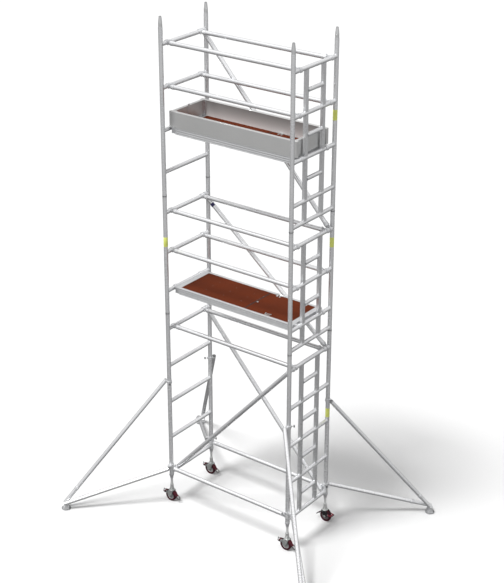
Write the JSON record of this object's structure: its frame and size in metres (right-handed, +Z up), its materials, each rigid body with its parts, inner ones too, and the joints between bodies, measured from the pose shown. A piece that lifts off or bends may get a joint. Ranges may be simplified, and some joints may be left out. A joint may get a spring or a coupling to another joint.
{
  "type": "mobile tower scaffold",
  "caption": "Mobile access tower: ladder end frames, hooked rails and diagonals, trapdoor platforms, toe boards, braked castors on screw legs and swing-out stabilisers.",
  "frame": {"origin": "on the floor at the middle of the tower's plan", "axes": "+Z up; +X along the bay towards the ladder end frame; +Y across the tower towards the side with three stacked diagonals"},
  "size_m": [3.828, 2.828, 6.247],
  "materials": {
    "frame_tube": "mill-finish extruded tube",
    "brace_tube": "mill-finish extruded tube",
    "spigot": "bright mill finish",
    "cast_hook": "die cast, satin",
    "trigger_plastic": "moulded",
    "clip_steel": "plated",
    "platform_profile": "ribbed extrusion",
    "deck_plywood": "film-faced plywood, fine anti-slip grid",
    "zinc_fitting": "zinc plated",
    "toe_board_paint": "grey painted board",
    "leg_steel": "zinc plated",
    "leg_nut_steel": "zinc plated casting",
    "fork_steel": "pressed steel",
    "wheel_rubber": "solid tyre on a moulded hub",
    "pedal_red": "red coated steel",
    "foot_rubber": "moulded pad"
  },
  "bodies": {
    "tower": {"span_frame_bottom": "frame_tube", "span_frame_middle": "frame_tube", "span_frame_top": "frame_tube", "ladder_frame_bottom": "frame_tube", "ladder_frame_middle": "frame_tube", "ladder_frame_top": "frame_tube", "frame_spigots": "spigot", "interlock_clips": "clip_steel", "rails_guard_top": "brace_tube", "rails_knee_top": "brace_tube", "rails_guard_middle": "brace_tube", "rails_knee_middle": "brace_tube", "rails_lower": "brace_tube", "ledgers_base": "brace_tube", "diagonals_back": "brace_tube", "diagonal_front": "brace_tube", "brace_hooks": "cast_hook", "platform_hooks": "cast_hook", "brace_triggers": "trigger_plastic", "platform_frame_upper": "platform_profile", "platform_frame_lower": "platform_profile", "deck_upper_ply": "deck_plywood", "deck_lower_ply": "deck_plywood", "trapdoor_hinges": "zinc_fitting", "toe_boards": "toe_board_paint", "toe_board_clips": "clip_steel"},
    "leg_fl": {"castor_leg_fl": "leg_steel"},
    "nut_fl": {"leg_nut_fl": "leg_nut_steel"},
    "castor_fl": {"castor_fork_fl": "fork_steel"},
    "wheel_fl": {"castor_wheel_fl": "wheel_rubber"},
    "pedal_fl": {"brake_pedal_fl": "pedal_red"},
    "stabiliser_fl": {"stabiliser_fl": "brace_tube"},
    "foot_fl": {"stabiliser_foot_fl": "foot_rubber"},
    "leg_fr": {"castor_leg_fr": "leg_steel"},
    "nut_fr": {"leg_nut_fr": "leg_nut_steel"},
    "castor_fr": {"castor_fork_fr": "fork_steel"},
    "wheel_fr": {"castor_wheel_fr": "wheel_rubber"},
    "pedal_fr": {"brake_pedal_fr": "pedal_red"},
    "stabiliser_fr": {"stabiliser_fr": "brace_tube"},
    "foot_fr": {"stabiliser_foot_fr": "foot_rubber"},
    "leg_bl": {"castor_leg_bl": "leg_steel"},
    "nut_bl": {"leg_nut_bl": "leg_nut_steel"},
    "castor_bl": {"castor_fork_bl": "fork_steel"},
    "wheel_bl": {"castor_wheel_bl": "wheel_rubber"},
    "pedal_bl": {"brake_pedal_bl": "pedal_red"},
    "stabiliser_bl": {"stabiliser_bl": "brace_tube"},
    "foot_bl": {"stabiliser_foot_bl": "foot_rubber"},
    "leg_br": {"castor_leg_br": "leg_steel"},
    "nut_br": {"leg_nut_br": "leg_nut_steel"},
    "castor_br": {"castor_fork_br": "fork_steel"},
    "wheel_br": {"castor_wheel_br": "wheel_rubber"},
    "pedal_br": {"brake_pedal_br": "pedal_red"},
    "stabiliser_br": {"stabiliser_br": "brace_tube"},
    "foot_br": {"stabiliser_foot_br": "foot_rubber"},
    "trapdoor_upper": {"trapdoor_upper": "deck_plywood", "trapdoor_fittings_upper": "zinc_fitting"},
    "handle_upper": {"trapdoor_handle_upper": "zinc_fitting"},
    "trapdoor_lower": {"trapdoor_lower": "deck_plywood", "trapdoor_fittings_lower": "zinc_fitting"},
    "handle_lower": {"trapdoor_handle_lower": "zinc_fitting"}
  },
  "joints": [
    {"name": "leg_extend_fl", "type": "slide", "parent": "tower", "child": "leg_fl", "axis": [0, 0, -1], "range_m": [0, 0.25]},
    {"name": "nut_turn_fl", "type": "hinge", "parent": "tower", "child": "nut_fl", "pos_m": [-0.9, -0.4, 0.36], "axis": [0, 0, 1], "range_deg": [0, 9000]},
    {"name": "castor_swivel_fl", "type": "hinge", "parent": "leg_fl", "child": "castor_fl", "pos_m": [-0.9, -0.4, 0.19], "axis": [0, 0, 1], "continuous": true},
    {"name": "wheel_spin_fl", "type": "hinge", "parent": "castor_fl", "child": "wheel_fl", "pos_m": [-0.915, -0.4, 0.075], "axis": [0, 1, 0], "continuous": true},
    {"name": "brake_pedal_fl", "type": "hinge", "parent": "castor_fl", "child": "pedal_fl", "pos_m": [-0.962, -0.4, 0.112], "axis": [0, -1, 0], "range_deg": [0, 18]},
    {"name": "stabiliser_swing_fl", "type": "hinge", "parent": "tower", "child": "stabiliser_fl", "pos_m": [-0.9, -0.4, 1], "axis": [0, 0, 1], "range_deg": [-45, 45]},
    {"name": "foot_tilt_fl", "type": "hinge", "parent": "stabiliser_fl", "child": "foot_fl", "pos_m": [-1.84752, -1.34752, 0.086], "axis": [0.7071, -0.7071, 0], "range_deg": [-20, 20]},
    {"name": "leg_extend_fr", "type": "slide", "parent": "tower", "child": "leg_fr", "axis": [0, 0, -1], "range_m": [0, 0.25]},
    {"name": "nut_turn_fr", "type": "hinge", "parent": "tower", "child": "nut_fr", "pos_m": [0.9, -0.4, 0.36], "axis": [0, 0, 1], "range_deg": [0, 9000]},
    {"name": "castor_swivel_fr", "type": "hinge", "parent": "leg_fr", "child": "castor_fr", "pos_m": [0.9, -0.4, 0.19], "axis": [0, 0, 1], "continuous": true},
    {"name": "wheel_spin_fr", "type": "hinge", "parent": "castor_fr", "child": "wheel_fr", "pos_m": [0.885, -0.4, 0.075], "axis": [0, 1, 0], "continuous": true},
    {"name": "brake_pedal_fr", "type": "hinge", "parent": "castor_fr", "child": "pedal_fr", "pos_m": [0.838, -0.4, 0.112], "axis": [0, -1, 0], "range_deg": [0, 18]},
    {"name": "stabiliser_swing_fr", "type": "hinge", "parent": "tower", "child": "stabiliser_fr", "pos_m": [0.9, -0.4, 1], "axis": [0, 0, 1], "range_deg": [-45, 45]},
    {"name": "foot_tilt_fr", "type": "hinge", "parent": "stabiliser_fr", "child": "foot_fr", "pos_m": [1.84752, -1.34752, 0.086], "axis": [0.7071, 0.7071, 0], "range_deg": [-20, 20]},
    {"name": "leg_extend_bl", "type": "slide", "parent": "tower", "child": "leg_bl", "axis": [0, 0, -1], "range_m": [0, 0.25]},
    {"name": "nut_turn_bl", "type": "hinge", "parent": "tower", "child": "nut_bl", "pos_m": [-0.9, 0.4, 0.36], "axis": [0, 0, 1], "range_deg": [0, 9000]},
    {"name": "castor_swivel_bl", "type": "hinge", "parent": "leg_bl", "child": "castor_bl", "pos_m": [-0.9, 0.4, 0.19], "axis": [0, 0, 1], "continuous": true},
    {"name": "wheel_spin_bl", "type": "hinge", "parent": "castor_bl", "child": "wheel_bl", "pos_m": [-0.915, 0.4, 0.075], "axis": [0, 1, 0], "continuous": true},
    {"name": "brake_pedal_bl", "type": "hinge", "parent": "castor_bl", "child": "pedal_bl", "pos_m": [-0.962, 0.4, 0.112], "axis": [0, -1, 0], "range_deg": [0, 18]},
    {"name": "stabiliser_swing_bl", "type": "hinge", "parent": "tower", "child": "stabiliser_bl", "pos_m": [-0.9, 0.4, 1], "axis": [0, 0, 1], "range_deg": [-45, 45]},
    {"name": "foot_tilt_bl", "type": "hinge", "parent": "stabiliser_bl", "child": "foot_bl", "pos_m": [-1.84752, 1.34752, 0.086], "axis": [-0.7071, -0.7071, 0], "range_deg": [-20, 20]},
    {"name": "leg_extend_br", "type": "slide", "parent": "tower", "child": "leg_br", "axis": [0, 0, -1], "range_m": [0, 0.25]},
    {"name": "nut_turn_br", "type": "hinge", "parent": "tower", "child": "nut_br", "pos_m": [0.9, 0.4, 0.36], "axis": [0, 0, 1], "range_deg": [0, 9000]},
    {"name": "castor_swivel_br", "type": "hinge", "parent": "leg_br", "child": "castor_br", "pos_m": [0.9, 0.4, 0.19], "axis": [0, 0, 1], "continuous": true},
    {"name": "wheel_spin_br", "type": "hinge", "parent": "castor_br", "child": "wheel_br", "pos_m": [0.915, 0.4, 0.075], "axis": [0, 1, 0], "continuous": true},
    {"name": "brake_pedal_br", "type": "hinge", "parent": "castor_br", "child": "pedal_br", "pos_m": [0.962, 0.4, 0.112], "axis": [0, 1, 0], "range_deg": [0, 18]},
    {"name": "stabiliser_swing_br", "type": "hinge", "parent": "tower", "child": "stabiliser_br", "pos_m": [0.9, 0.4, 1], "axis": [0, 0, 1], "range_deg": [-45, 45]},
    {"name": "foot_tilt_br", "type": "hinge", "parent": "stabiliser_br", "child": "foot_br", "pos_m": [1.84752, 1.34752, 0.086], "axis": [-0.7071, 0.7071, 0], "range_deg": [-20, 20]},
    {"name": "trapdoor_upper", "type": "hinge", "parent": "tower", "child": "trapdoor_upper", "pos_m": [0.4685, 0.256, 4.963], "axis": [-1, 0, 0], "range_deg": [0, 85]},
    {"name": "trapdoor_handle_upper", "type": "hinge", "parent": "trapdoor_upper", "child": "handle_upper", "pos_m": [0.4685, -0.224, 4.963], "axis": [-1, 0, 0], "range_deg": [0, 80]},
    {"name": "trapdoor_lower", "type": "hinge", "parent": "tower", "child": "trapdoor_lower", "pos_m": [0.4685, 0.256, 2.963], "axis": [-1, 0, 0], "range_deg": [0, 85]},
    {"name": "trapdoor_handle_lower", "type": "hinge", "parent": "trapdoor_lower", "child": "handle_lower", "pos_m": [0.4685, -0.224, 2.963], "axis": [-1, 0, 0], "range_deg": [0, 80]}
  ],
  "couplings": [
    {"joint": "nut_turn_fl", "follows": "leg_extend_fl", "rad_per_m": 628},
    {"joint": "nut_turn_fr", "follows": "leg_extend_fr", "rad_per_m": 628},
    {"joint": "nut_turn_bl", "follows": "leg_extend_bl", "rad_per_m": 628},
    {"joint": "nut_turn_br", "follows": "leg_extend_br", "rad_per_m": 628}
  ]
}
